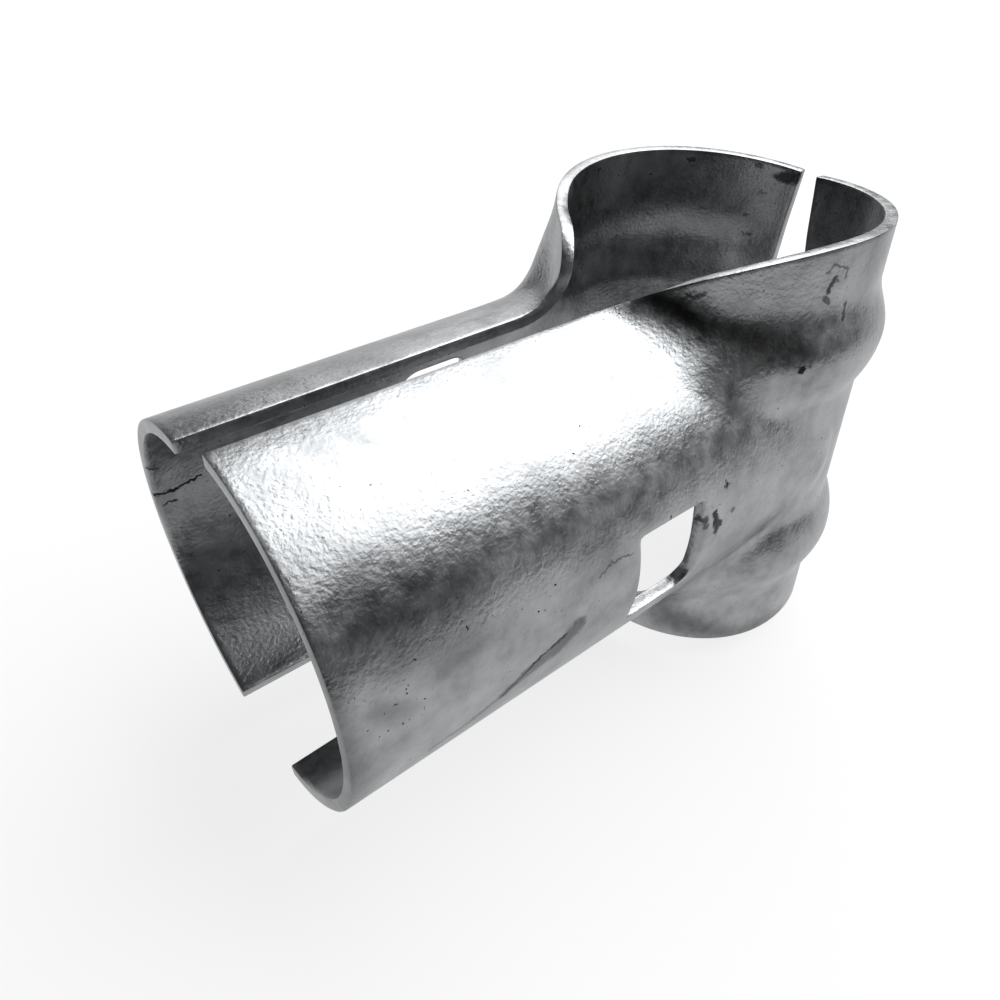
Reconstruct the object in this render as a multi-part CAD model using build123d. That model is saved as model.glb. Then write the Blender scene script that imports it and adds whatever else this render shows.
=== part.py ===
"""Fence rail end clamp: one pressed and galvanised sheet, folded round a post and a rail.

The post axis is Z and the rail axis is X, and the origin is where they cross.
The far half keeps to these axes. The near half hangs on the hinge web and stands slightly
turned, as an unused clamp does before its bolt draws the two halves together.
"""
import os
from math import cos, radians, sin, sqrt

from build123d import *

# Tubes that the clamp takes, with the radial play round them
rail_diameter = 41.3
post_surplus = 0.9
tube_play = 0.25
sheet = 1.6

# Lengths and heights of the two pressed half shells
sleeve_end = 74.5
collar_half_height = 30.2
edge_offset = 2.9
junction_radius = 4.0

# Stiffening beads round the collar
bead_height = 1.5
bead_half_width = 6.0
bead_level = 15.8

# Collar front: flared in the far half, run down to the sleeve's edge in the near half
flare_reach = 26.0
flare_start_angle = 35.0
run_down_reach = 18.0
run_down_start = 4.5

# Punched hole for the neck of a carriage bolt, one in each half: place along X and height
near_hole_place = (30.6, -1.6)
far_hole_place = (31.9, -0.4)
bolt_hole_width = 11.3
bolt_hole_height = 12.9
near_hole_corner = 1.2
far_hole_corner = 2.8

# Hinge web between the halves, behind the post
web_half_height = 8.0

# How the near half stands before the bolt is tightened
twist_angle = 9.7
lift_angle = -1.0
splay_angle = 1.2
stand_off = 3.3
stand_up = 0.55

# Sizes that follow
post_diameter = rail_diameter + post_surplus
rail_bore = rail_diameter / 2 + tube_play
post_bore = post_diameter / 2 + tube_play
sleeve_outer = rail_bore + sheet
collar_outer = post_bore + sheet
reach = 2 * sleeve_end
near_place = Location((0, stand_off, stand_up), (twist_angle, lift_angle, splay_angle))


def side_box(start):
    """Everything beyond the plane Y = start."""
    return Pos(0, start + reach / 2, 0) * Box(2 * reach, reach, reach)


def flare(radius, offset):
    """Prism of the straight flared walls in front of the collar, moved in by an offset."""
    angle = radians(flare_start_angle)
    root_x = radius * cos(angle)
    root_y = radius * sin(angle)
    tip_x = flare_reach - offset
    tip_y = edge_offset
    slope = (root_y - tip_y) / (tip_x - root_x)
    nose_x = tip_x + 2 * tip_y / slope
    outline = Polyline((0, -tip_y), (nose_x, -tip_y), (root_x, root_y), (0, root_y), close=True)
    return extrude(make_face(outline), collar_half_height, both=True)


def tube_crossing(post_radius, rail_radius, blend, side_start, flare_offset=None):
    """Half of a post cylinder and a rail cylinder, blended where they meet."""
    body = Cylinder(post_radius, 2 * collar_half_height)
    if flare_offset is not None:
        body = body + flare(post_radius, flare_offset)
    rail = Pos(sleeve_end / 2, 0, 0) * Rot(0, 90, 0) * Cylinder(rail_radius, sleeve_end)
    body = (body + rail) & side_box(side_start)
    seam = body.edges().filter_by(lambda edge: is_junction(edge, post_radius, side_start))
    return fillet(seam, blend)


def is_junction(edge, post_radius, side_start):
    """True for the concave edges between the collar's wall and the sleeve."""
    middle = edge.position_at(0.5)
    low = abs(middle.Z) < collar_half_height - sheet
    off_cut = middle.Y > side_start + tube_play
    inside = middle.X < sleeve_end - sheet
    upright = edge.geom_type == GeomType.LINE
    return low and off_cut and inside and not upright


def bead_rings(radius):
    """Both stiffening beads as solid rings of a circular segment."""
    rings = []
    for level in (-bead_level, bead_level):
        low = (radius, 0, level - bead_half_width)
        top = (radius + bead_height, 0, level)
        high = (radius, 0, level + bead_half_width)
        crown = ThreePointArc(low, top, high)
        back = Polyline(high, (radius - sheet, 0, high[2]), (radius - sheet, 0, low[2]), low)
        rings.append(revolve(make_face([crown, back]), Axis.Z))
    return rings


def half_shell(flared):
    """One pressed half on the +Y side, before it is placed."""
    offsets = (0, sheet) if flared else (None, None)
    outer = tube_crossing(collar_outer, sleeve_outer, junction_radius, edge_offset, offsets[0])
    inner = tube_crossing(
        post_bore, rail_bore, junction_radius + sheet, edge_offset - sheet, offsets[1]
    )
    outer_beads = [ring & side_box(edge_offset) for ring in bead_rings(collar_outer)]
    inner_beads = [ring & side_box(edge_offset - sheet) for ring in bead_rings(post_bore)]
    for ring in outer_beads:
        outer = outer + ring
    for ring in inner_beads:
        inner = inner + ring
    return outer - inner


def bolt_punch(place, corner):
    """Punch for the bolt's hole through the wall on the +Y side."""
    plane = Plane(origin=(place[0], 0, place[1]), x_dir=(1, 0, 0), z_dir=(0, 1, 0))
    outline = plane * RectangleRounded(bolt_hole_width, bolt_hole_height, corner)
    return extrude(outline, 2 * collar_outer)


def run_down_trim():
    """Cuts the near collar's front rim along a quarter ellipse, at the top and at the bottom."""
    base = sleeve_outer
    rise = collar_half_height - base
    centre = (run_down_start, base)
    curve = EllipticalCenterArc(centre, run_down_reach, rise, start_angle=0, arc_size=90)
    far_x = flare_reach + sheet
    frame = Polyline(
        curve @ 1,
        (curve @ 1) + (0, sheet),
        Vector(far_x, collar_half_height + sheet),
        Vector(far_x, base),
        curve @ 0,
    )
    outline = Plane.XZ * make_face([curve, frame])
    top = extrude(outline, -2 * collar_outer, both=True)
    return [top, mirror(top, Plane.XY)]


def web(near_to_world):
    """Hinge web from one half's rear edge to the other's."""
    edge_x_outer = -sqrt(collar_outer**2 - edge_offset**2)
    edge_x_inner = -sqrt(post_bore**2 - edge_offset**2)
    middle_x = (edge_x_outer + edge_x_inner) / 2
    thickness = edge_x_inner - edge_x_outer
    section = Rectangle(2 * web_half_height, thickness)
    far_plane = Plane(origin=(middle_x, -edge_offset, 0), x_dir=(0, 0, 1), z_dir=(0, 1, 0))
    near_plane = Plane(origin=(middle_x, edge_offset, 0), x_dir=(0, 0, 1), z_dir=(0, 1, 0))
    near_face = near_to_world * (near_plane * section)
    return loft([far_plane * section, near_face])


def clamp():
    """The whole pressed piece."""
    far = mirror(half_shell(True) - bolt_punch(far_hole_place, far_hole_corner), Plane.XZ)
    near = half_shell(False) - bolt_punch(near_hole_place, near_hole_corner)
    for trim in run_down_trim():
        near = near - trim
    return far + near_place * near + web(near_place)


os.makedirs("parts", exist_ok=True)
piece = clamp()
export_step(piece, "parts/rail_end_clamp.step")
print("solids", len(piece.solids()), "volume", round(piece.volume), "box", piece.bounding_box())
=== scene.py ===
"""Fence rail end clamp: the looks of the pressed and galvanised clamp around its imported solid.

One sheet is pressed into two half shells that a hinge web joins behind the post. Each half shell
is laid out as a grid, drawn onto the outside of a collar and a sleeve that flow into each other,
and then given the sheet's thickness, as a press forms a flat blank.
"""
import logging
from dataclasses import dataclass, field
from enum import Enum
from math import atan2, cos, degrees, pi, radians, sin, sqrt

import bpy
import numpy as np
from mathutils import Matrix, Vector


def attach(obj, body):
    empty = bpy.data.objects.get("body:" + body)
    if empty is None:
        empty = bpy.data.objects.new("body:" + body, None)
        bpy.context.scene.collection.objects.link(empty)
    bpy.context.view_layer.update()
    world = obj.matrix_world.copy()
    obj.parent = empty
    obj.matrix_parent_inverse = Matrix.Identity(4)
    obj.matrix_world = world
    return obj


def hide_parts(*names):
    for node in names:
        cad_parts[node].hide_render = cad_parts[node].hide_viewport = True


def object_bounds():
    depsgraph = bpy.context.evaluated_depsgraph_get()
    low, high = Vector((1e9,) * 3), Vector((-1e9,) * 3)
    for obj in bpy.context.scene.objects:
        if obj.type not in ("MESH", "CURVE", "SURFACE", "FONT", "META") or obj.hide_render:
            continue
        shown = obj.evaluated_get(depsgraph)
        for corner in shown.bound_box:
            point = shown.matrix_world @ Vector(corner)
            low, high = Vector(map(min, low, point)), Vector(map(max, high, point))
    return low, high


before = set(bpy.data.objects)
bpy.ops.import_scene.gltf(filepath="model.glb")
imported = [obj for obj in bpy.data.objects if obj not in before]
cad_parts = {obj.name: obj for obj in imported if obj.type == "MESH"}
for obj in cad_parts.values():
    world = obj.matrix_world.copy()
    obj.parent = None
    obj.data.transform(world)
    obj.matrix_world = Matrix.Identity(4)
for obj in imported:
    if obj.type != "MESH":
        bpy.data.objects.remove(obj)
cad_box = [list(corner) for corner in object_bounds()]

MM = 0.001
LOG = logging.getLogger("clamp")
MATH, VECTOR, RANGE = "ShaderNodeMath", "ShaderNodeVectorMath", "ShaderNodeMapRange"

Point = tuple[float, float, float]
Pair = tuple[float, float]


class Side(Enum):
    """The two half shells, by where they stand from the camera."""

    NEAR = 1
    FAR = -1


def linear(code: str) -> tuple[float, float, float, float]:
    """Turns an sRGB hex colour into linear light.

    Args:
        code: Six hex digits, such as "8f9294".

    Returns:
        Red, green, blue and an alpha of one.
    """
    parts = [int(code[start : start + 2], 16) / 255 for start in (0, 2, 4)]
    light = [part / 12.92 if part <= 0.04045 else ((part + 0.055) / 1.055) ** 2.4 for part in parts]
    return (*light, 1.0)


def eased(share: np.ndarray) -> np.ndarray:
    """Makes a share start and end gently.

    Args:
        share: Values from 0 to 1.

    Returns:
        Values from 0 to 1 along a smooth step.
    """
    return share * share * (3 - 2 * share)


def add_node(
    tree: bpy.types.NodeTree, kind: str, settings: dict | None = None, inputs: dict | None = None
) -> bpy.types.Node:
    """Adds a node with its settings, its values and its links.

    Args:
        tree: The node tree that takes it.
        kind: The node's Blender type.
        settings: Attributes of the node.
        inputs: Values or output sockets by the input's name or number.

    Returns:
        The new node.
    """
    node = tree.nodes.new(kind)
    for name, value in (settings or {}).items():
        setattr(node, name, value)
    for key, value in (inputs or {}).items():
        if isinstance(value, bpy.types.NodeSocket):
            tree.links.new(value, node.inputs[key])
        else:
            node.inputs[key].default_value = value
    return node


@dataclass(frozen=True)
class PressForm:
    """Outside of one half shell, as a field that is zero on the surface; sizes in millimetres.

    Attributes:
        flared: True where flat walls run from the collar to the slit in front.
        collar, sleeve: Outer radii.
        bead_height: How far a bead stands out.
        bead_level: Height of a bead's crest over the sleeve's axis.
        bead_rise, bead_fall: Height of its crisp side to the axis and of its soft side to the rim.
        bead_run_out: Distance from the slit over which a bead rises to full height.
        bead_rest: Share of a bead that is left at the slit.
        band_drop: How far the band under the rim lies in.
        edge_offset: Half of the slit's width.
        flare_from: Where the flat walls start, in degrees from the sleeve.
        blend: Radius of the fillet between collar and sleeve at the slit.
        blend_growth, blend_reach: Its growth with each millimetre from the slit, and how far.
        nose: How steeply the sleeve's form closes behind the post's axis.
        swell, swell_size: Height and spread of the shoulders behind the front corners.
        swell_place: Middle of the upper shoulder; the lower one mirrors it.
        least_slope: Smallest squared gradient that a step reckons with.
    """

    flared: bool
    collar: float = 22.2
    sleeve: float = 22.5
    bead_height: float = 1.8
    bead_level: float = 15.8
    bead_rise: float = 6.2
    bead_fall: float = 7.4
    bead_run_out: float = 9.0
    bead_rest: float = 0.25
    band_drop: float = 0.2
    edge_offset: float = 2.9
    flare_from: float = 38.0
    blend: float = 4.2
    blend_growth: float = 0.15
    blend_reach: float = 8.0
    nose: float = 1.8
    swell: float = 0.0
    swell_place: Point = (20.5, 12.0, 24.0)
    swell_size: float = 3.4
    least_slope: float = 0.2

    def collar_radius(self, z: np.ndarray, y: np.ndarray | None = None) -> np.ndarray:
        """Radius of the collar at each height, with both beads.

        Each bead has a crisp foot on the side of the sleeve's axis and falls softly to the rim.

        Args:
            z: Heights over the sleeve's axis.
            y: How far out the points are, where the beads run out towards the slit.

        Returns:
            The radii.
        """
        off = np.abs(z) - self.bead_level
        low = np.clip(-off / self.bead_rise, 0, 1)
        high = np.clip(off / self.bead_fall, 0, 1)
        bead = self.bead_height * np.where(off < 0, 1 - low**2, 0.5 + 0.5 * np.cos(pi * high))
        bead = bead - self.band_drop * eased(high)
        if y is not None:
            full = np.clip((y - self.edge_offset) / self.bead_run_out, 0, 1)
            bead = bead * (self.bead_rest + (1 - self.bead_rest) * eased(full))
        return self.collar + bead

    def field(self, points: np.ndarray) -> np.ndarray:
        """Signed distance, roughly, from the outside of the half shell.

        Args:
            points: Rows of X, Y and Z.

        Returns:
            One value for each row, negative inside.
        """
        tiny = 1e-6
        x, y, z = points.T
        radius = self.collar_radius(z, np.where(x < 0, y, self.sleeve))
        round_wall = np.hypot(x, y)
        upright = round_wall - radius
        toward = np.stack([x, y, 0 * z], 1) / np.maximum(round_wall, tiny)[:, None]
        if self.flared:
            turn = radians(self.flare_from)
            flat = np.array([cos(turn), sin(turn), 0.0])
            ahead = y < x * np.tan(turn)
            upright = np.where(ahead, points @ flat - radius, upright)
            toward = np.where(ahead[:, None], flat, toward)
        back = np.minimum(x, 0) * self.nose
        spread = np.sqrt(back**2 + y**2 + z**2)
        along = spread - self.sleeve
        out = np.stack([back, y, z], 1) / np.maximum(spread, tiny)[:, None]
        roll = self.blend + self.blend_growth * np.clip(y - self.edge_offset, 0, self.blend_reach)
        skin = self.joined(upright, along, (toward * out).sum(1), roll)
        if self.swell:
            level = np.abs(z) - self.swell_place[2]
            away = (x - self.swell_place[0]) ** 2 + (y - self.swell_place[1]) ** 2 + level**2
            skin = skin - self.swell * np.exp(-away / (2 * self.swell_size**2))
        return skin

    @staticmethod
    def joined(
        first: np.ndarray, second: np.ndarray, lean: np.ndarray, roll: np.ndarray
    ) -> np.ndarray:
        """Union of two fields with a rolled fillet between them.

        Args:
            first: Distances from the collar.
            second: Distances from the sleeve.
            lean: Cosine of the angle between both surfaces' outward directions.
            roll: Radius of the fillet.

        Returns:
            Distances from the joined surface.
        """
        most_lean = 0.98
        lean = np.clip(lean, 0, most_lean)
        a = (roll - first) / roll
        b = (roll - second) / roll
        span = np.sqrt(np.maximum((a * a + b * b - 2 * lean * a * b) / (1 - lean * lean), 0))
        inside = (a > lean * b) & (b > lean * a)
        return np.where(inside, roll * (1 - span), np.minimum(first, second))

    def slope(self, points: np.ndarray) -> np.ndarray:
        """Gradient of the field by central differences.

        Args:
            points: Rows of X, Y and Z.

        Returns:
            One gradient for each row.
        """
        step = 0.01
        axes = np.eye(3) * step
        rises = [self.field(points + axis) - self.field(points - axis) for axis in axes]
        return np.stack(rises, 1) / (2 * step)

    def settle(self, points: np.ndarray, rounds: int) -> np.ndarray:
        """Moves points onto the surface along the gradient.

        Args:
            points: Rows of X, Y and Z.
            rounds: How many steps of Newton's rule to take.

        Returns:
            The moved points.
        """
        for _ in range(rounds):
            rise = self.slope(points)
            size = np.maximum((rise * rise).sum(1), self.least_slope)
            points = points - (self.field(points) / size)[:, None] * rise
        return points


# The near half has no flared walls and a slightly wider sleeve, the far half has lower beads
NEAR_FORM = PressForm(
    flared=False, collar=22.1, sleeve=22.74, blend=4.4, blend_growth=0.42, blend_reach=10.0
)
FAR_FORM = PressForm(
    flared=True, collar=22.3, bead_height=1.2, blend=5.5, blend_growth=0.4, swell=1.9
)


def resampled(path: np.ndarray, count: int) -> np.ndarray:
    """Spreads points evenly along a path.

    Args:
        path: Rows of X, Y and Z along the path.
        count: How many points to return.

    Returns:
        The points, both ends included.
    """
    steps = np.linalg.norm(np.diff(path, axis=0), axis=1)
    length = np.concatenate([[0], np.cumsum(steps)])
    places = np.linspace(0, length[-1], count)
    return np.stack([np.interp(places, length, path[:, axis]) for axis in range(3)], 1)


@dataclass
class HalfShell:
    """One pressed half: half of the collar and half of the sleeve; sizes in millimetres.

    It is worked out on the +Y side of the post, as if it were the near half, and then placed.

    Attributes:
        side: Which half it is.
        columns, rows: Grid cells from hinge to sleeve's end, and from bottom to top.
        edge_offset: Half of the slit's width.
        half_height: Half of the collar's height.
        sleeve_end: Where the sleeve ends, from the post's axis.
        web_half_height: Half of the hinge web's height, with web_rows grid cells.
        rear_closing: How much narrower the rear slit is at the top, over closing_span.
        run_down, low_run_down: How far the near half's rims run in at the front.
        run_down_power: How late along the rim that happens.
        run_down_arc: Where it starts and how long it is, in degrees.
        top_rise: How much higher the upper rim stands.
        corner_drop, corner_run: Height and width of the far half's rounded front corner.
        end_lean: Slope of the sleeve's end.
        collar_lean: Slope of the near half's collar along the rail.
        lean_from: Where that slope starts, full after lean_span.
        lip_opening: How far the near half's lower lip stands out.
        lip_level: Where it starts below the axis, full after lip_span.
        crown: Half of the sleeve's arc, in degrees.
        bow_from: Where the grid's rows start to follow that arc, over bow_span.
        hole_place, hole_size: Middle and size of the bolt hole, along the rail and in height.
        hole_corner, low_corner: Radius of its corners, and of the lower one towards the post.
        rounds: How often the grid is evened out, before and after the hole.
        turn, shift: How the near half stands open, in degrees about X, Y and Z, and how far off.
        form: The form that it is pressed to.
    """

    side: Side
    columns: int = 150
    rows: int = 84
    edge_offset: float = 2.9
    half_height: float = 30.2
    sleeve_end: float = 74.5
    web_half_height: float = 8.0
    web_rows: int = 11
    rear_closing: float = 0.0
    closing_span: float = 22.0
    run_down: float = 7.6
    low_run_down: float = 3.6
    run_down_power: float = 2.2
    run_down_arc: Pair = (90.0, 83.0)
    top_rise: float = 0.0
    corner_drop: float = 5.0
    corner_run: float = 4.5
    end_lean: float = 0.008
    collar_lean: float = 0.026
    lean_from: float = 24.0
    lean_span: float = 20.0
    lip_opening: float = 1.3
    lip_level: float = 16.5
    lip_span: float = 6.2
    crown: float = 82.6
    bow_from: float = -5.0
    bow_span: float = 25.0
    hole_place: Pair = (30.6, -1.6)
    hole_size: Pair = (11.3, 12.9)
    hole_corner: float = 0.5
    low_corner: float = 3.4
    rounds: tuple[int, int] = (220, 120)
    turn: Point = (9.7, -1.2, 1.2)
    shift: Point = (-0.25, 3.2, 0.5)
    form: PressForm = field(init=False)

    def __post_init__(self) -> None:
        """Chooses the press form that suits the side."""
        self.form = FAR_FORM if self.side is Side.FAR else NEAR_FORM

    def rear_edge(self) -> np.ndarray:
        """Rear edge, with rows that meet the hinge web's corners.

        Returns:
            Points from the bottom to the top.
        """
        lower_rows = self.rows // 2 - self.web_rows + 1
        low = np.linspace(-self.half_height, -self.web_half_height, lower_rows)
        middle = np.linspace(-self.web_half_height, self.web_half_height, 2 * self.web_rows + 1)
        rise = 1 + self.top_rise / (self.half_height - self.web_half_height)
        high = self.web_half_height + (-low[:-1][::-1] - self.web_half_height) * rise
        z = np.concatenate([low[:-1], middle, high])
        radius = self.form.collar_radius(z, 0 * z + self.edge_offset)
        closed = np.clip((z - self.web_half_height) / self.closing_span, 0, 1)
        y = self.edge_offset - self.rear_closing * closed
        return np.stack([-np.sqrt(radius**2 - y**2), y, z], 1)

    def rim_height(self, angle: np.ndarray, low: bool) -> np.ndarray:
        """Height of the collar's rim, which runs down to the sleeve on the near half.

        Args:
            angle: Directions round the post, in degrees from the sleeve.
            low: True for the lower rim.

        Returns:
            Heights over the sleeve's axis.
        """
        if self.side is Side.FAR:
            turn = radians(self.form.flare_from)
            wall = self.form.collar / np.cos(np.radians(angle) - turn)
            out = wall * np.sin(np.radians(angle)) - self.edge_offset
            share = np.clip(1 - out / self.corner_run, 0, 1) * (angle < self.form.flare_from)
            top = self.half_height if low else self.half_height + self.top_rise
            return top - self.corner_drop * (1 - np.sqrt(1 - share**2))
        start, span = self.run_down_arc
        share = np.clip((start - angle) / span, 0, 1)
        drop = self.low_run_down if low else self.run_down
        return self.half_height - drop * share**self.run_down_power

    def rim(self, low: bool = False) -> np.ndarray:
        """Collar's rim from the rear edge to the slit in front.

        Args:
            low: True for the lower rim, which is returned as if it were the upper one.

        Returns:
            Points along the rim.
        """
        last_angle, count, rounds, pace = 1, 400, 30, 0.7
        reach = float(self.form.collar_radius(np.array([self.half_height]))[0])
        start = self.rear_edge()[0 if low else -1]
        angle = np.linspace(degrees(atan2(start[1], start[0])), last_angle, count)
        z = self.rim_height(angle, low)
        turn = np.radians(angle)
        away = np.stack([np.cos(turn), np.sin(turn), 0 * z], 1)
        height = np.stack([0 * z, 0 * z, z], 1)
        radius = 0 * z + reach
        for _ in range(rounds):
            radius = radius - pace * self.form.field(away * radius[:, None] + height)
        points = away * radius[:, None] + height
        return points[(points[:, 0] < 0) | (points[:, 1] > self.edge_offset)]

    def slit_edge(self, start: np.ndarray) -> np.ndarray:
        """Edge in the slit's plane, from the rim's end down the front and along the sleeve.

        Args:
            start: Where the rim ends.

        Returns:
            Points to the sleeve's end.
        """
        step, rounds = 0.1, 3
        point = np.array([start[0], self.edge_offset, start[2]])
        found = []
        while point[0] < self.sleeve_end:
            for _ in range(rounds):
                rise = self.form.slope(point[None])[0] * (1, 0, 1)
                off = float(self.form.field(point[None])[0])
                point = point - off * rise / max(rise @ rise, self.form.least_slope)
            found.append(point)
            point = point + step * np.array([rise[2], 0, -rise[0]]) / np.linalg.norm(rise)
        found[-1][0] = self.sleeve_end - self.end_lean * found[-1][2]
        return np.array(found)

    def end_edge(self) -> np.ndarray:
        """Edge of the sleeve's end.

        Returns:
            Points from the bottom round to the top.
        """
        top = degrees(atan2(sqrt(self.form.sleeve**2 - self.edge_offset**2), self.edge_offset))
        angle = np.radians(np.linspace(-top, top, self.rows + 1))
        y, z = self.form.sleeve * np.cos(angle), self.form.sleeve * np.sin(angle)
        return np.stack([self.sleeve_end - self.end_lean * z, y, z], 1)

    def side_line(self) -> np.ndarray:
        """Middle line of the half: round the collar's back and straight along the sleeve.

        Returns:
            One point for each grid line.
        """
        hinge_angle, side_angle, first, count = 173, 90, 0.5, 200
        turn = np.radians(np.linspace(hinge_angle, side_angle, count))
        radius = self.form.collar
        back = np.stack([radius * np.cos(turn), radius * np.sin(turn), 0 * turn], 1)
        along = np.linspace(first, self.sleeve_end, count)
        ahead = np.stack([along, 0 * along + self.form.sleeve, 0 * along], 1)
        return resampled(np.concatenate([back, ahead]), self.columns + 1)

    def laid_out(self) -> np.ndarray:
        """Lays the grid near the form, with its four edges in their places.

        Returns:
            Points by column and row.
        """
        edges = []
        for is_low in (False, True):
            rim = self.rim(is_low)
            whole = np.concatenate([rim, self.slit_edge(rim[-1])])
            edges.append(resampled(whole, self.columns + 1))
        top, low = edges[0], edges[1] * (1, 1, -1)
        low[-1, 0] = self.sleeve_end - self.end_lean * low[-1, 2]
        middle = self.side_line()
        share = np.linspace(-1, 1, self.rows + 1)[None, :, None]
        crown = radians(self.crown)
        up = np.sin(share * crown) / sin(crown)
        out = (np.cos(share * crown) - cos(crown)) / (1 - cos(crown))
        edge = np.where(share > 0, top[:, None], low[:, None])
        mid = middle[:, None]
        flat = mid + (edge - mid) * np.abs(share)
        bowed = np.concatenate(
            [
                mid[..., :1] + (edge[..., :1] - mid[..., :1]) * np.abs(up),
                edge[..., 1:2] + (mid[..., 1:2] - edge[..., 1:2]) * out,
                np.abs(edge[..., 2:]) * up,
            ],
            2,
        )
        blend = np.clip((middle[:, 0] - self.bow_from) / self.bow_span, 0, 1)[:, None, None]
        grid = flat + (bowed - flat) * blend
        grid[:, -1], grid[:, 0] = top, low
        grid[0], grid[-1] = self.rear_edge(), self.end_edge()
        return grid

    def relaxed(self, grid: np.ndarray, fixed: np.ndarray, rounds: int) -> np.ndarray:
        """Evens the grid out on the form, with the fixed points held.

        Args:
            grid: Points by column and row.
            fixed: True for the points that stay.
            rounds: How often each point moves between its neighbours.

        Returns:
            The grid, settled on the form.
        """
        pace, settled_every, last_rounds = 0.8, 4, 4
        free = ~fixed[1:-1, 1:-1]
        inner = grid[1:-1, 1:-1]
        for turn in range(rounds):
            mean = (grid[2:, 1:-1] + grid[:-2, 1:-1] + grid[1:-1, 2:] + grid[1:-1, :-2]) / 4
            inner[free] += pace * (mean - inner)[free]
            if (turn + 1) % settled_every == 0:
                inner[free] = self.form.settle(inner[free], 1)
        inner[free] = self.form.settle(inner[free], last_rounds)
        return grid

    def hole_cells(self, grid: np.ndarray) -> tuple[int, int, int, int]:
        """Finds the grid lines nearest to the bolt hole's sides.

        Args:
            grid: Points by column and row.

        Returns:
            First and last column, first and last row.
        """
        half_x, half_z = self.hole_size[0] / 2, self.hole_size[1] / 2
        x, z = self.hole_place
        row = np.abs(grid[self.columns // 2, :, 2] - z).argmin()
        lines = grid[:, row, 0].copy()
        lines[: self.columns // 4] = -self.sleeve_end
        first = np.abs(lines - (x - half_x)).argmin()
        last = np.abs(lines - (x + half_x)).argmin()
        column = (first + last) // 2
        low = np.abs(grid[column, :, 2] - (z - half_z)).argmin()
        high = np.abs(grid[column, :, 2] - (z + half_z)).argmin()
        return int(first), int(last), int(low), int(high)

    def hole_rim(
        self, cells: tuple[int, int, int, int], grid: np.ndarray, fixed: np.ndarray
    ) -> None:
        """Puts the grid's points round the bolt hole on its rounded outline.

        Args:
            cells: First and last column, first and last row.
            grid: Points by column and row, changed in place.
            fixed: Marks of held points, changed in place.
        """
        first, last, low, high = cells
        half_x, half_z = self.hole_size[0] / 2, self.hole_size[1] / 2
        for column in range(first, last + 1):
            for row in range(low, high + 1):
                fixed[column, row] = True
                if column not in (first, last) and row not in (low, high):
                    continue
                x = (2 * (column - first) / (last - first) - 1) * half_x
                z = (2 * (row - low) / (high - low) - 1) * half_z
                corner = self.low_corner if x < 0 and z < 0 else self.hole_corner
                core_x, core_z = half_x - corner, half_z - corner
                over_x, over_z = max(abs(x) - core_x, 0), max(abs(z) - core_z, 0)
                if over_x > 0 and over_z > 0:
                    scale = corner / sqrt(over_x**2 + over_z**2)
                    x = np.sign(x) * (core_x + over_x * scale)
                    z = np.sign(z) * (core_z + over_z * scale)
                place = (self.hole_place[0] + x, self.form.sleeve, self.hole_place[1] + z)
                grid[column, row] = self.onto_wall(np.array(place))

    def onto_wall(self, point: np.ndarray) -> np.ndarray:
        """Moves a point along Y onto the form.

        Args:
            point: X, Y and Z.

        Returns:
            The moved point.
        """
        for _ in range(12):
            rise = max(self.form.slope(point[None])[0][1], self.form.least_slope)
            point = point - (0, float(self.form.field(point[None])[0]) / rise, 0)
        return point

    def pressed(self) -> tuple[np.ndarray, tuple[int, int, int, int]]:
        """Draws the grid onto the form.

        Returns:
            Points by column and row, and the grid lines round the bolt hole.
        """
        grid = self.laid_out()
        fixed = np.zeros(grid.shape[:2], bool)
        grid = self.relaxed(grid, fixed, self.rounds[0])
        cells = self.hole_cells(grid)
        self.hole_rim(cells, grid, fixed)
        grid = self.relaxed(grid, fixed, self.rounds[1])
        return grid, cells

    def placed(self, points: np.ndarray) -> np.ndarray:
        """Puts the half where it stands: the far one mirrored, the near one turned.

        Args:
            points: Rows of X, Y and Z on the +Y side.

        Returns:
            Rows in the object's frame.
        """
        if self.side is Side.FAR:
            return points * (1, -1, 1)
        points = points.copy()
        x, z = points[:, 0].copy(), points[:, 2]
        points[:, 0] -= self.collar_lean * z * np.clip((self.lean_from - x) / self.lean_span, 0, 1)
        lip = np.clip((-z - self.lip_level) / self.lip_span, 0, 1)
        lip = lip * np.clip(points[:, 0] / self.sleeve_end, 0, 1)
        points[:, 1] += self.lip_opening * lip * lip
        x_turn, y_turn, z_turn = (
            Matrix.Rotation(radians(angle), 3, axis) for angle, axis in zip(self.turn, "XYZ")
        )
        return points @ np.array(x_turn @ y_turn @ z_turn).T + self.shift

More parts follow.
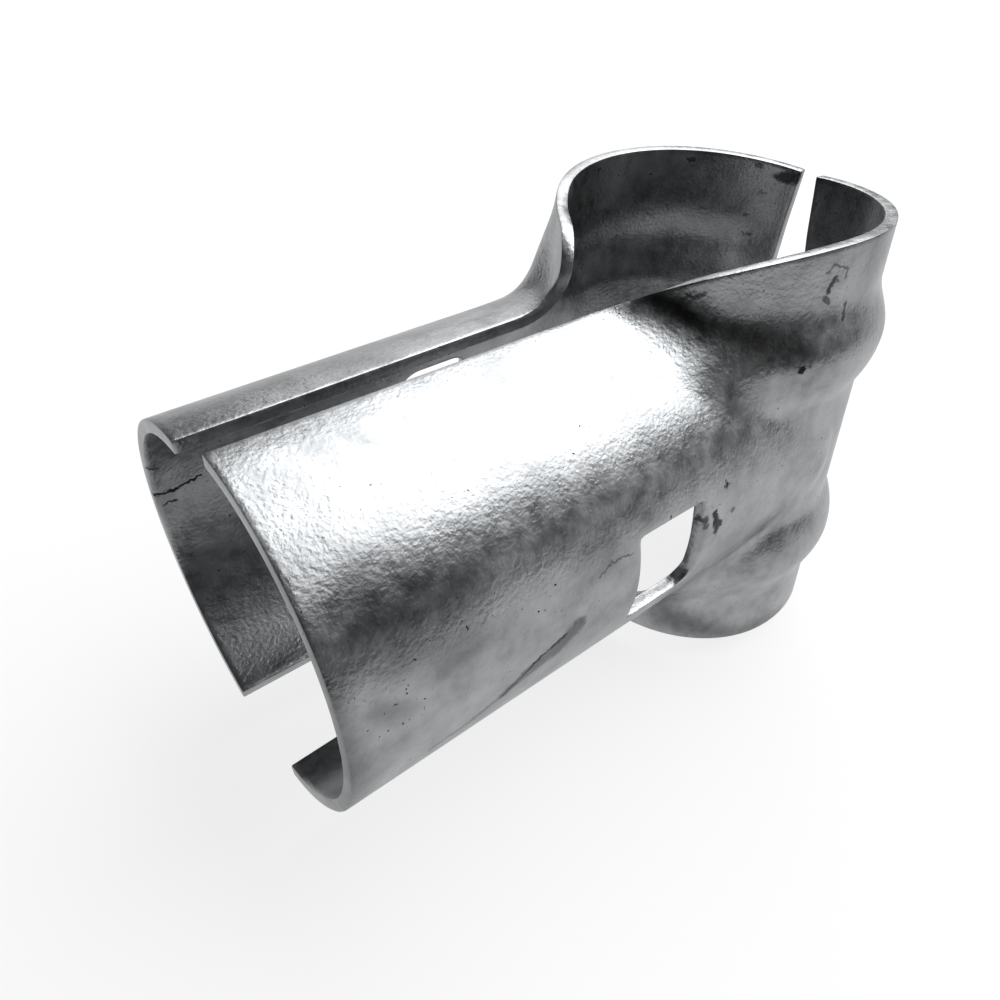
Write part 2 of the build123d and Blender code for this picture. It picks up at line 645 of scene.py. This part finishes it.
    def build(self) -> bpy.types.Object:
        """Makes the half as an open sheet, with the bolt hole cut out.

        Returns:
            The mesh object, with its faces outwards.
        """
        grid, cells = self.pressed()
        bpy.ops.object.select_all(action="DESELECT")
        bpy.ops.mesh.primitive_grid_add(
            x_subdivisions=self.columns, y_subdivisions=self.rows, size=2, location=(0, 0, 0)
        )
        shell = bpy.context.object
        shell.name = f"{self.side.name.lower()}_half"
        mesh = shell.data
        counts = np.array([self.columns, self.rows])
        flat = np.array([vertex.co[:2] for vertex in mesh.vertices])
        lines = np.round((flat + 1) / 2 * counts).astype(int)
        first, last, low, high = cells
        mesh.vertices.foreach_set("select", [False] * len(mesh.vertices))
        mesh.edges.foreach_set("select", [False] * len(mesh.edges))
        for face in mesh.polygons:
            across, up = lines[list(face.vertices)].mean(0)
            face.select = bool(first < across < last and low < up < high)
            if face.select:
                for index in face.vertices:
                    mesh.vertices[index].select = True
        points = self.placed(grid[lines[:, 0], lines[:, 1]]) * MM
        mesh.vertices.foreach_set("co", points.ravel())
        bpy.ops.object.mode_set(mode="EDIT")
        bpy.ops.mesh.select_mode(type="FACE")
        bpy.ops.mesh.delete(type="FACE")
        bpy.ops.mesh.select_all(action="SELECT")
        if self.side is Side.NEAR:
            bpy.ops.mesh.flip_normals()
        bpy.ops.object.mode_set(mode="OBJECT")
        return shell


@dataclass(frozen=True)
class DrawnEdge:
    """Edge of the near hole that the punch drew inwards; shares are of the hole's half size.

    Attributes:
        depth: How far it is drawn, in millimetres.
        sides, level: Band beside the hole that moves, and how far up and down it goes.
        wall: Depths in the wall between which it moves, in millimetres.
        fade_end, fade_span: How far below the middle the draw ends, and over what height.
    """

    depth: float = 0.7
    sides: Pair = (0.7, 1.25)
    level: float = 1.15
    wall: Pair = (-3.0, 0.75)
    fade_end: float = 1.25
    fade_span: float = 0.8

    def shift(self, side: float, deep: float, up: float) -> float:
        """How far a vertex moves along the rail.

        Args:
            side: Its place beside the hole's middle, towards the post.
            deep: Its depth in the wall.
            up: Its height over the hole's middle.

        Returns:
            The shift, in millimetres.
        """
        level = abs(up)
        beside = self.sides[0] < side < self.sides[1] and level < self.level
        if not beside or not self.wall[0] < deep < self.wall[1]:
            return 0.0
        fade = min(max(self.fade_end + up, 0) / self.fade_span, 1)
        return self.depth * max(1 - level**3, 0) * fade


@dataclass
class Clamp:
    """The whole pressed piece: both halves, the hinge web and the sheet's thickness.

    Attributes:
        sheet, edge_round: The sheet's thickness and its edges' rounding, in millimetres.
        web_half_height, web_cuts: Half of the web's height, and the cuts across it.
        drawn: The near hole's drawn edge.
        near, far: The half that stands open, and the one that keeps to the axes.
    """

    sheet: float = 1.6
    edge_round: float = 0.22
    web_half_height: float = 8.0
    web_cuts: int = 7
    drawn: DrawnEdge = DrawnEdge()
    near: HalfShell = field(default_factory=lambda: HalfShell(Side.NEAR, rear_closing=1.5))
    far: HalfShell = field(
        default_factory=lambda: HalfShell(
            Side.FAR,
            hole_place=(31.9, -0.4),
            hole_corner=2.8,
            low_corner=2.8,
            sleeve_end=74.55,
            top_rise=0.25,
        )
    )

    def build(self) -> bpy.types.Object:
        """Builds the clamp as one mesh.

        Returns:
            The finished piece.
        """
        halves = [self.far.build(), self.near.build()]
        bpy.ops.object.select_all(action="DESELECT")
        for half in halves:
            half.select_set(True)
        bpy.context.view_layer.objects.active = halves[0]
        bpy.ops.object.join()
        piece = bpy.context.object
        piece.name = "clamp_shell"
        self.hinge(piece)
        thick = piece.modifiers.new("sheet", "SOLIDIFY")
        thick.thickness = self.sheet * MM
        thick.offset = -1
        thick.use_even_offset = True
        thick.use_quality_normals = True
        thick.material_offset_rim = 1
        soft = piece.modifiers.new("edges", "BEVEL")
        soft.width = self.edge_round * MM
        soft.segments = 2
        soft.limit_method = "ANGLE"
        soft.angle_limit = radians(50)
        bpy.ops.object.modifier_apply(modifier="sheet")
        self.draw_hole(piece)
        bpy.ops.object.modifier_apply(modifier="edges")
        bpy.ops.object.shade_smooth_by_angle(angle=radians(40))
        return piece

    def draw_hole(self, piece: bpy.types.Object) -> None:
        """Leans the near hole's edge into the hole on the post's side, as the punch drew it.

        Args:
            piece: The sheet with its thickness.
        """
        x, z = self.near.hole_place
        half_x, half_z = self.near.hole_size[0] / 2, self.near.hole_size[1] / 2
        inside = self.near.form.sleeve - self.sheet
        centre = self.near.placed(np.array([[x, inside, z]]))[0]
        for vertex in piece.data.vertices:
            if vertex.co[1] > 0:
                off = np.array(vertex.co) / MM - centre
                shift = self.drawn.shift(-off[0] / half_x, off[1], off[2] / half_z)
                vertex.co[0] += shift * MM

    def hinge(self, piece: bpy.types.Object) -> None:
        """Bridges the two rear edges at mid-height, behind the post.

        Args:
            piece: Both halves in one mesh, without thickness.
        """
        mesh = piece.data
        margin = 0.01
        bpy.ops.object.mode_set(mode="EDIT")
        bpy.ops.mesh.select_mode(type="EDGE")
        bpy.ops.mesh.select_all(action="DESELECT")
        bpy.ops.object.mode_set(mode="OBJECT")
        spots = np.array([vertex.co[:] for vertex in mesh.vertices])
        for half in (self.near, self.far):
            edge = half.rear_edge()
            middle = edge[np.abs(edge[:, 2]) < self.web_half_height + margin]
            places = half.placed(middle) * MM
            index = [int(((spots - place) ** 2).sum(1).argmin()) for place in places]
            wanted = {frozenset(pair) for pair in zip(index, index[1:])}
            for line in mesh.edges:
                if frozenset(line.vertices) in wanted:
                    line.select = True
        bpy.ops.object.mode_set(mode="EDIT")
        bpy.ops.mesh.bridge_edge_loops(type="SINGLE", number_cuts=self.web_cuts)
        bpy.ops.object.mode_set(mode="OBJECT")


@dataclass(frozen=True)
class Mark:
    """Dross, scar or spatter in the coat, and also patches of painted shade: a round-ended streak,
    in millimetres of the object.

    The width counts from its middle line, and the core is the share of it at full depth.
    """

    start: Point
    end: Point
    width: float
    depth: float = 1.0
    core: float = 0.5


def dot(x: float, y: float, z: float, width: float, depth: float = 1.0) -> Mark:
    """Makes a round spot.

    Args:
        x: Place along the rail.
        y: Place across.
        z: Height.
        width: Radius of the spot.
        depth: How strong it is, up to one.

    Returns:
        The mark.
    """
    length = 0.01
    return Mark((x, y, z), (x, y, z + length), width, depth)


# Painted shade and painted dark reflection, as wide darker areas: the valley over the sleeve,
# the sleeve's side and end, the collar's lower front and the inner wall
PAINTED_SHADE_AREAS = (
    Mark((19.7, 7.8, 26.5), (17.4, 12.8, 24.9), 2.1, 0.9, 0.1),
    Mark((17.4, 12.8, 24.7), (8.5, 21.0, 23.1), 3.3, 0.75, 0.1),
    Mark((14.5, 15.9, 26.2), (7.5, 20.6, 25.6), 2.4, 0.35, 0.0),
    Mark((68.0, 21.0, 17.6), (60.5, 22.8, 15.2), 6.0, 0.5, 0.0),
    Mark((66.3, 24.1, 13.3), (60.3, 25.1, 11.1), 4.5, 0.35, 0.0),
    Mark((74.0, 17.8, 20.1), (73.8, 23.9, 14.0), 3.2, 0.4, 0.0),
    Mark((73.8, 23.9, 14.0), (74.2, 27.1, 1.8), 3.2, 0.45, 0.0),
    Mark((74.2, 27.1, 1.8), (73.6, 24.5, -9.0), 4.0, 0.45, 0.0),
    Mark((69.8, 26.0, 9.0), (67.6, 26.2, 7.6), 2.2, 0.35, 0.0),
    Mark((24.7, 23.7, -11.0), (17.1, 21.4, -21.6), 3.0, 0.45, 0.0),
    Mark((17.1, 21.4, -21.6), (9.5, 27.6, -24.4), 3.2, 0.5, 0.0),
    Mark((9.5, 27.6, -24.4), (-0.7, 29.3, -25.2), 2.6, 0.4, 0.0),
    Mark((9.0, -18.6, 25.0), (-15.5, -14.3, 22.0), 9.0, 0.45, 0.0),
)
# The long scar on the near sleeve's side, with its darker core
SCARS = (
    Mark((45.2, 26.6, 3.5), (48.4, 26.8, 1.5), 1.5, 0.62),
    Mark((48.4, 26.8, 1.5), (52.6, 26.8, 0.7), 1.25, 0.6),
    Mark((52.6, 26.8, 0.7), (55.8, 26.7, -0.9), 0.9, 0.6),
    Mark((55.8, 26.7, -0.9), (59.5, 26.5, -2.3), 0.7, 0.5),
    Mark((59.5, 26.5, -2.3), (64.6, 26.5, -2.6), 0.45, 0.45),
    Mark((47.0, 26.7, 3.3), (50.6, 26.8, 2.2), 0.35),
    Mark((50.6, 26.8, 2.2), (55.6, 26.7, -0.9), 0.4),
)
# Dross spots beside the near hole and on the collar, and a scratch above the scar
NEAR_SPOTS = (
    dot(20.1, 24.5, 9.8, 0.5),
    dot(24.2, 25.5, 6.9, 0.8, 0.8),
    dot(23.9, 25.6, 5.9, 0.6, 0.7),
    Mark((22.5, 25.5, 7.1), (21.8, 26.1, 4.1), 0.6),
    Mark((22.0, 25.6, 5.9), (21.2, 26.0, 4.9), 0.6),
    dot(18.9, 25.7, 5.8, 0.55, 0.7),
    dot(8.0, 22.3, 20.6, 0.6),
    dot(6.9, 22.3, 20.9, 0.4, 0.6),
    Mark((42.0, 25.6, 8.5), (40.1, 25.2, 9.3), 0.18, 0.55),
    Mark((40.1, 25.2, 9.3), (37.0, 25.4, 8.8), 0.18, 0.55),
)
# Ring-shaped scratch and streaks under the near collar's rim
COLLAR_MARKS = (
    Mark((4.9, 19.3, 31.0), (4.0, 19.3, 31.9), 0.22, 0.6),
    Mark((4.0, 19.3, 31.9), (2.0, 19.9, 31.2), 0.22, 0.6),
    Mark((2.0, 19.9, 31.2), (1.8, 20.1, 30.0), 0.22, 0.6),
    Mark((4.2, 19.9, 28.8), (3.6, 19.7, 30.3), 0.4, 0.85),
    Mark((3.6, 19.7, 30.3), (2.9, 20.0, 29.8), 0.25, 0.6),
    Mark((4.4, 20.0, 28.0), (3.9, 20.1, 27.4), 0.45, 0.7),
    Mark((0.8, 20.8, 26.9), (1.2, 21.5, 24.9), 0.25, 0.7),
    Mark((17.8, 10.4, 27.6), (17.1, 11.3, 27.6), 0.25, 0.8),
    Mark((17.1, 11.3, 27.6), (16.6, 11.7, 28.3), 0.2, 0.7),
)
# Scratches inside the far sleeve's end and dross inside the far collar
INNER_MARKS = (
    Mark((75.0, -21.2, 1.1), (71.7, -20.9, 0.7), 0.3),
    Mark((71.7, -20.9, 0.7), (68.4, -20.8, 1.5), 0.25),
    Mark((74.6, -20.0, 6.3), (73.2, -20.2, 5.4), 0.2, 0.9),
    Mark((73.8, -20.9, -0.9), (72.1, -20.9, -1.0), 0.2, 0.9),
    dot(3.5, -20.2, 29.0, 0.6, 0.7),
    dot(4.0, -20.1, 24.3, 0.9, 0.75),
    dot(4.6, -20.0, 26.0, 0.5, 0.5),
    dot(-12.3, -16.4, 29.0, 0.6, 0.7),
    dot(-10.7, -17.6, 21.9, 0.6, 0.6),
    dot(-14.7, -14.4, 21.9, 0.6, 0.6),
    dot(-18.8, -8.5, 22.0, 0.4, 0.7),
    dot(-19.8, -8.2, 19.0, 0.5, 0.7),
    dot(-18.6, -8.6, 29.6, 0.5, 0.7),
    Mark((-20.1, -4.7, 28.8), (-20.6, -2.9, 29.5), 0.9, 0.9),
    dot(-19.3, -7.2, 25.9, 0.5, 0.5),
    Mark((-12.5, -18.7, 17.5), (-13.0, -18.7, 15.0), 0.35, 0.5),
)
# Painted shade on the sheared edge, as darker stretches: the near hole's side, the far slit's lower
# edge and end
PAINTED_EDGE_SHADE = (
    Mark((24.9, 24.6, 9.1), (24.9, 25.3, -1.5), 2.2, 0.75),
    Mark((74.5, -2.9, -22.3), (55.0, -2.9, -22.3), 2.2, 0.7),
    Mark((74.6, -20.5, 10.0), (74.6, -21.5, -6.0), 2.5, 0.45),
)


@dataclass(frozen=True)
class ZincSkin:
    """Hot-dip galvanised steel: dull grey zinc that froze with an orange-peel skin.

    To the eye: soft cloudy greys, fine grain that breaks up every highlight, and dark pin specks
    where dross sits in the coat. Real dross pins are near 0.1 mm wide and real peel is shallower
    than drawn here, both too fine to show, so they are drawn as coarse as they need to show.

    Attributes:
        name: What the material is called.
        dark, middle, light: Greys of the clouds.
        speck, stain: Colours of the dross pins and of the located marks.
        rough_low, rough_high: Least and greatest roughness.
        cloud, blotch: Sizes of the clouds and blotches, in millimetres as all sizes here.
        blotch_share: How much the blotches add to the clouds' tint.
        grain: Size of the orange peel's bumps.
        wave_stretch: Size of the slow waves in blotches.
        speck_size: Size of the dross pins' cells.
        peel_height, wave_height: Heights of the orange peel and of the slow waves.
        tint_span: Values of the mottling from dark to light.
        pin_span, pin_clouds: Values of their pattern and of the clouds where pins come in.
        speck, stain_and_shade: Colours of the dross pins and of the located marks, the real stains
            and the painted shade alike.
        across: How much less a mark's distance counts across the sheet.
        ragged_scale, ragged_shift: Cells to a millimetre and reach of the marks' ragged borders.
        marks, mark_end: The located marks, real ones and patches of painted shade, and the share of
            their width at which they end.
    """

    name: str = "hot_dip_galvanised_steel"
    dark: str = "7a7c7d"
    middle: str = "959799"
    light: str = "a8aaab"
    speck: str = "2c2c2d"
    stain_and_shade: str = "232324"
    rough_low: float = 0.30
    rough_high: float = 0.44
    cloud: float = 7.0
    blotch: float = 1.8
    blotch_share: float = 0.6
    grain: float = 0.52
    wave_stretch: float = 1.4
    speck_size: float = 0.5
    peel_height: float = 0.065
    wave_height: float = 0.045
    tint_span: Pair = (0.55, 1.05)
    pin_span: Pair = (0.71, 0.76)
    pin_clouds: Pair = (0.5, 0.6)
    rough_span: Pair = (0.3, 0.7)
    across: float = 0.3
    ragged_scale: float = 1.6
    ragged_shift: float = 1.1
    mark_end: float = 1.1
    marks: tuple[Mark, ...] = ()

    def build(self) -> bpy.types.Material:
        """Makes the material.

        Returns:
            The node material.
        """
        material = bpy.data.materials.new(self.name)
        material.use_nodes = True
        tree = material.node_tree
        shader = tree.nodes["Principled BSDF"]
        place = add_node(tree, "ShaderNodeTexCoord").outputs["Object"]
        in_mm = add_node(
            tree, VECTOR, {"operation": "SCALE"}, {0: place, "Scale": 1 / MM}
        ).outputs[0]
        # Size in millimetres, detail and roughness of each noise
        patterns = {
            "clouds": (self.cloud, 4.0, 0.6),
            "blotches": (self.blotch, 3.0, 0.55),
            "grain": (self.grain, 2.0, 0.5),
            "waves": (self.blotch * self.wave_stretch, 1.0, 0.55),
            "specks": (self.speck_size, 1.0, 0.55),
        }
        noise = {}
        for name, (size, detail, rough) in patterns.items():
            values = {"Vector": in_mm, "Scale": 1 / size, "Detail": detail, "Roughness": rough}
            noise[name] = add_node(tree, "ShaderNodeTexNoise", inputs=values).outputs["Fac"]
        mottle = add_node(
            tree,
            MATH,
            {"operation": "MULTIPLY_ADD"},
            {0: noise["blotches"], 1: self.blotch_share, 2: noise["clouds"]},
        ).outputs[0]
        # Pattern, its span and the span that it is turned into
        spans = {
            "tint": (mottle, self.tint_span, (0, 1)),
            "pins": (noise["specks"], self.pin_span, (0, 1)),
            "dross": (noise["clouds"], self.pin_clouds, (0, 1)),
            "rough": (noise["blotches"], self.rough_span, (self.rough_low, self.rough_high)),
        }
        share = {}
        for name, (value, span, to) in spans.items():
            values = {0: value, 1: span[0], 2: span[1], 3: to[0], 4: to[1]}
            share[name] = add_node(tree, RANGE, inputs=values).outputs[0]
        tint = add_node(tree, "ShaderNodeValToRGB", inputs={0: share["tint"]})
        ramp = tint.color_ramp
        ramp.elements[0].color = linear(self.dark)
        ramp.elements[1].color = linear(self.light)
        ramp.elements.new(0.5).color = linear(self.middle)
        pins = add_node(
            tree, MATH, {"operation": "MULTIPLY"}, {0: share["pins"], 1: share["dross"]}
        ).outputs[0]
        layers = [(pins, self.speck)]
        # The located marks lay their dark colour over the mottling: real dross and scars, and
        # painted shade
        if self.marks:
            layers.append((self.marked(tree, in_mm), self.stain_and_shade))
        colour = tint.outputs[0]
        for amount, shade in layers:
            colour = add_node(
                tree,
                "ShaderNodeMix",
                {"data_type": "RGBA"},
                {"Factor": amount, 6: colour, 7: linear(shade)},
            ).outputs[2]
        slow = add_node(
            tree,
            "ShaderNodeBump",
            inputs={"Strength": 1.0, "Distance": self.wave_height * MM, "Height": noise["waves"]},
        )
        fine = add_node(
            tree,
            "ShaderNodeBump",
            inputs={
                "Strength": 1.0,
                "Distance": self.peel_height * MM,
                "Height": noise["grain"],
                "Normal": slow.outputs[0],
            },
        )
        shader.inputs["Metallic"].default_value = 1.0
        tree.links.new(colour, shader.inputs["Base Color"])
        tree.links.new(share["rough"], shader.inputs["Roughness"])
        tree.links.new(fine.outputs[0], shader.inputs["Normal"])
        return material

    def marked(self, tree: bpy.types.NodeTree, in_mm: bpy.types.NodeSocket) -> bpy.types.NodeSocket:
        """Draws the located marks, real ones and painted shade, with ragged borders.

        Args:
            tree: The material's node tree.
            in_mm: Place on the object in millimetres.

        Returns:
            How much of the stain and painted shade shows, from none to one.
        """
        flat = (1.0, self.across, 1.0)
        reach, back = self.ragged_shift, -self.ragged_shift / 2
        ragged = add_node(
            tree,
            "ShaderNodeTexNoise",
            inputs={"Vector": in_mm, "Scale": self.ragged_scale, "Detail": 3.0},
        )
        drift = add_node(
            tree,
            VECTOR,
            {"operation": "MULTIPLY_ADD"},
            {0: ragged.outputs["Color"], 1: (reach, 0.0, reach), 2: (back, 0.0, back)},
        ).outputs[0]
        moved = add_node(tree, VECTOR, {"operation": "ADD"}, {0: in_mm, 1: drift}).outputs[0]
        place = add_node(tree, VECTOR, {"operation": "MULTIPLY"}, {0: moved, 1: flat}).outputs[0]
        total = None
        for mark in self.marks:
            start = Vector([a * b for a, b in zip(mark.start, flat)])
            end = Vector([a * b for a, b in zip(mark.end, flat)])
            way = (end - start).normalized()
            off = add_node(tree, VECTOR, {"operation": "SUBTRACT"}, {0: place, 1: start}).outputs[0]
            along = add_node(
                tree, VECTOR, {"operation": "DOT_PRODUCT"}, {0: off, 1: way}
            ).outputs["Value"]
            kept = add_node(
                tree, "ShaderNodeClamp", inputs={0: along, 1: 0.0, 2: (end - start).length}
            ).outputs[0]
            nearest = add_node(
                tree, VECTOR, {"operation": "SCALE"}, {0: way, "Scale": kept}
            ).outputs[0]
            gap = add_node(
                tree, VECTOR, {"operation": "DISTANCE"}, {0: off, 1: nearest}
            ).outputs["Value"]
            outer, inner = mark.width * self.mark_end, mark.width * mark.core
            share = add_node(
                tree,
                RANGE,
                {"interpolation_type": "SMOOTHSTEP"},
                {0: gap, 1: outer, 2: inner, 3: 0.0, 4: mark.depth},
            ).outputs[0]
            if total is not None:
                share = add_node(
                    tree, MATH, {"operation": "MAXIMUM"}, {0: total, 1: share}
                ).outputs[0]
            total = share
        return total


# Where the sheet was sheared and then dipped the coat is thinner and rougher: a dull, even grey
SHEARED_EDGE = ZincSkin(
    name="galvanised_sheared_edge",
    dark="6c6e70",
    middle="828485",
    light="939596",
    rough_low=0.46,
    rough_high=0.6,
    cloud=4.0,
    blotch=1.2,
    peel_height=0.03,
    # Its marks are painted shade on the sheared edge
    marks=PAINTED_EDGE_SHADE,
)


@dataclass(frozen=True)
class Lamp:
    """Soft lamp that looks at the object, in metres; at a level of 1 its face is white."""

    name: str
    place: Point
    size: Pair
    level: float

    def hang(self) -> None:
        """Adds the lamp to the scene, aimed at the object."""
        data = bpy.data.lights.new(self.name, "AREA")
        data.shape = "RECTANGLE"
        data.size, data.size_y = self.size
        data.energy = self.level * pi * self.size[0] * self.size[1]
        lamp = bpy.data.objects.new(self.name, data)
        bpy.context.scene.collection.objects.link(lamp)
        lamp.location = self.place
        lamp.rotation_euler = (-Vector(self.place)).to_track_quat("-Z", "Y").to_euler()


@dataclass
class Studio:
    """Plain floor, soft lamps and the camera of the photograph.

    Attributes:
        floor_size, floor_gap: Side of the floor and its gap under the object, in metres.
        floor_colour, floor_rough: Its colour and roughness, which keep the object's shadow.
        floor_glow: How much light of its own the camera and the metal see.
        front_light, rear_light: The world's strength beyond the sleeve's end and behind the post.
        light_span: Directions along the rail between which it changes.
        backdrop: The world's strength for the camera alone.
        place, look, right: Where the camera is, where it looks and what is right in the picture.
        focal, image: Its focal length and the picture's width, in pixels.
        sensor, near_clip: Width of its sensor in millimetres, and how near it sees in metres.
        lamps: The lamps that hang over it.
    """

    floor_size: float = 4.0
    floor_gap: float = 0.0002
    floor_colour: str = "6e6e6e"
    floor_rough: float = 0.9
    floor_glow: float = 0.80
    front_light: float = 0.04
    rear_light: float = 0.20
    light_span: Pair = (0.7, -0.6)
    backdrop: float = 0.85
    place: Point = (0.08685, 0.05881, 0.07090)
    look: Point = (-0.47903, -0.53961, -0.69235)
    right: Point = (-0.78700, 0.61336, 0.06647)
    focal: float = 768.94
    image: float = 1000.0
    sensor: float = 36.0
    near_clip: float = 0.001
    lamps: tuple[Lamp, ...] = (
        Lamp("key_lamp", (-0.45, -0.05, 0.70), (1.3, 0.8), 5.0),
        Lamp("side_lamp", (-0.42, -0.72, 0.30), (0.6, 0.4), 1.5),
    )

    def camera(self) -> None:
        """Sets up the camera at the photograph's viewing angle."""
        data = bpy.data.cameras.new("camera")
        data.sensor_width = self.sensor
        data.lens = self.focal / self.image * self.sensor
        data.clip_start = self.near_clip
        eye = bpy.data.objects.new("camera", data)
        bpy.context.scene.collection.objects.link(eye)
        ahead = Vector(self.look).normalized()
        right = Vector(self.right)
        right = (right - right.dot(ahead) * ahead).normalized()
        up = right.cross(ahead)
        turn = Matrix((right, up, -ahead)).transposed()
        eye.matrix_world = Matrix.Translation(self.place) @ turn.to_4x4()
        bpy.context.scene.camera = eye

    def floor(self, level: float) -> None:
        """Lays the plain pale floor.

        Args:
            level: Its height, in metres.
        """
        bpy.ops.object.select_all(action="DESELECT")
        bpy.ops.mesh.primitive_plane_add(size=self.floor_size, location=(0, 0, 0))
        ground = bpy.context.object
        ground.name = "floor"
        ground.data.transform(Matrix.Translation((0, 0, level)))
        material = bpy.data.materials.new("plain_floor")
        material.use_nodes = True
        tree = material.node_tree
        shader = tree.nodes["Principled BSDF"]
        shader.inputs["Base Color"].default_value = linear(self.floor_colour)
        shader.inputs["Roughness"].default_value = self.floor_rough
        shader.inputs["Specular IOR Level"].default_value = 0.0
        path = add_node(tree, "ShaderNodeLightPath")
        seen = path.outputs["Is Camera Ray"]
        for other in ("Is Glossy Ray", "Is Transmission Ray"):
            seen = add_node(
                tree, MATH, {"operation": "MAXIMUM"}, {0: seen, 1: path.outputs[other]}
            ).outputs[0]
        glow = add_node(
            tree, MATH, {"operation": "MULTIPLY"}, {0: seen, 1: self.floor_glow}
        ).outputs[0]
        shader.inputs["Emission Color"].default_value = linear("ffffff")
        tree.links.new(glow, shader.inputs["Emission Strength"])
        ground.data.materials.append(material)

    def world(self) -> None:
        """Sets the world's light, dim in front and brighter behind, and its pale backdrop."""
        world = bpy.data.worlds.new("studio")
        bpy.context.scene.world = world
        world.use_nodes = True
        tree = world.node_tree
        tree.nodes.clear()
        heading = add_node(tree, "ShaderNodeTexCoord").outputs["Generated"]
        along = add_node(tree, "ShaderNodeSeparateXYZ", inputs={0: heading}).outputs[0]
        start, end = self.light_span
        level = add_node(
            tree,
            RANGE,
            inputs={0: along, 1: start, 2: end, 3: self.front_light, 4: self.rear_light},
        ).outputs[0]
        seen = add_node(tree, "ShaderNodeLightPath").outputs["Is Camera Ray"]
        pale = add_node(
            tree, MATH, {"operation": "MULTIPLY"}, {0: seen, 1: self.backdrop}
        ).outputs[0]
        strength = add_node(tree, MATH, {"operation": "MAXIMUM"}, {0: level, 1: pale}).outputs[0]
        glow = add_node(
            tree, "ShaderNodeBackground", inputs={"Color": linear("ffffff"), "Strength": strength}
        ).outputs[0]
        add_node(tree, "ShaderNodeOutputWorld", inputs={"Surface": glow})

    def build(self) -> None:
        """Sets the whole stage."""
        bpy.context.scene.view_settings.view_transform = "Standard"
        self.camera()
        self.floor(cad_box[0][2] - self.floor_gap)
        for lamp in self.lamps:
            lamp.hang()
        self.world()


def main() -> None:
    """Builds the clamp and its stage, and reports each piece."""
    logging.basicConfig(level=logging.INFO, format="%(message)s")
    piece = Clamp().build()
    # Marks on the main coat: the first group is painted shade and painted dark reflection, the rest
    # are real scars, dross and scratches
    marks = PAINTED_SHADE_AREAS + SCARS + NEAR_SPOTS + COLLAR_MARKS + INNER_MARKS
    piece.data.materials.clear()
    piece.data.materials.append(ZincSkin(marks=marks).build())
    piece.data.materials.append(SHEARED_EDGE.build())
    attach(piece, "root")
    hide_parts("rail_end_clamp")
    LOG.info("clamp shell: %d faces", len(piece.data.polygons))
    Studio().build()
    LOG.info("stage: camera, floor, lamps and world")


if __name__ == "__main__":
    main()
